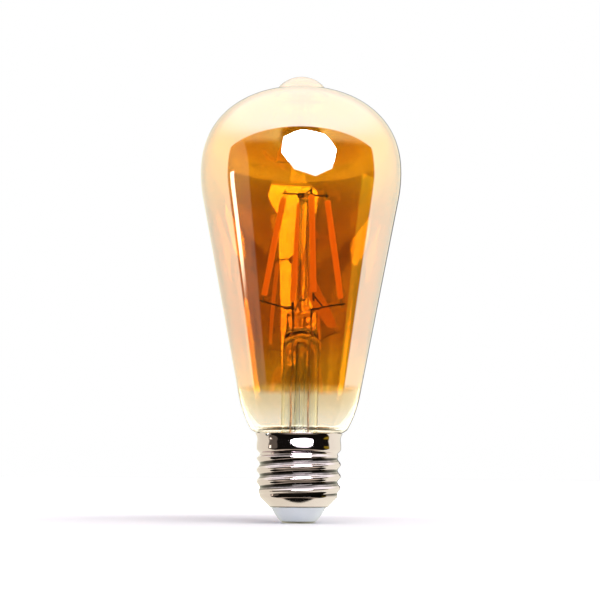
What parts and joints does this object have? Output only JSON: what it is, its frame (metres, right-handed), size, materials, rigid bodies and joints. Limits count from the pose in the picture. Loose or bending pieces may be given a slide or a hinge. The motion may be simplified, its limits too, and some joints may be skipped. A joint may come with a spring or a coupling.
{
  "type": "light bulb",
  "caption": "Light bulb with a tapered amber glass envelope, upright LED filaments on a glass stem, a screw cap and a hidden radio driver.",
  "frame": {"origin": "centre of the flat face of the centre contact, at the bottom of the screw cap", "axes": "+Z from the contact to the tip of the glass, -Z the way the cap enters its lampholder, -Y the front, from which the bulb is usually seen"},
  "size_m": [0.064, 0.064, 0.142],
  "materials": {
    "amber_glass": "blown glass with a thin amber half-mirror coat that stops above the cap",
    "clear_glass": "clear drawn glass, softened and pressed",
    "nickel_wire": "drawn nickel wire",
    "dumet_wire": "copper-clad sealing wire, dulled",
    "phosphor": "silicone loaded with yellow-orange phosphor",
    "substrate_ceramic": "thin white ceramic strip",
    "led_die": "tiny bare light-emitting chips",
    "plated_steel": "plated steel strip",
    "nickel_plate": "bright nickel plate on rolled brass sheet",
    "insulator": "pale bluish-white moulded insulator",
    "contact_metal": "tinned brass",
    "cement": "baked basing cement",
    "solder": "tin solder",
    "board_green": "glass-fibre board with green resist",
    "board_blue": "glass-fibre board with blue resist",
    "chip_black": "black moulded epoxy",
    "capacitor_can": "drawn aluminium can",
    "pvc_sleeve": "shrunk vinyl sleeve",
    "ferrite": "pressed grey ferrite",
    "copper_winding": "enamelled copper wire",
    "resistor_body": "lacquered ceramic resistor body",
    "glass_sleeving": "woven glass-fibre sleeving",
    "chip_ceramic": "fired ceramic chip capacitor",
    "radio_shield": "tinned steel shield",
    "aerial_insulation": "grey wire insulation",
    "live_insulation": "red wire insulation",
    "neutral_insulation": "black wire insulation"
  },
  "bodies": {
    "root": {"glass_envelope": "amber_glass", "stem_flare": "clear_glass", "stem_pinch": "clear_glass", "stem_post": "clear_glass", "post_button": "clear_glass", "exhaust_tube": "clear_glass", "top_support_wires": "nickel_wire", "lead_arms_left": "nickel_wire", "lead_arms_right": "nickel_wire", "stem_lead_left": "dumet_wire", "stem_lead_right": "dumet_wire", "led_filament_1": "phosphor", "led_filament_2": "phosphor", "led_filament_3": "phosphor", "led_filament_4": "phosphor", "filament_substrates": "substrate_ceramic", "led_chips": "led_die", "filament_end_pins": "plated_steel", "cap_shell": "nickel_plate", "cap_insulator": "insulator", "centre_contact": "contact_metal", "basing_cement": "cement", "contact_solder": "solder", "rim_solder": "solder", "driver_board": "board_green", "bridge_rectifier": "chip_black", "driver_chip": "chip_black", "smoothing_capacitor": "capacitor_can", "capacitor_sleeve": "pvc_sleeve", "choke_core": "ferrite", "choke_winding": "copper_winding", "fusible_resistor": "resistor_body", "resistor_sleeve": "glass_sleeving", "small_resistors": "chip_black", "small_capacitors": "chip_ceramic", "radio_board": "board_blue", "radio_chip": "radio_shield", "aerial_wire": "aerial_insulation", "live_lead": "live_insulation", "neutral_lead": "neutral_insulation"}
  },
  "joints": []
}
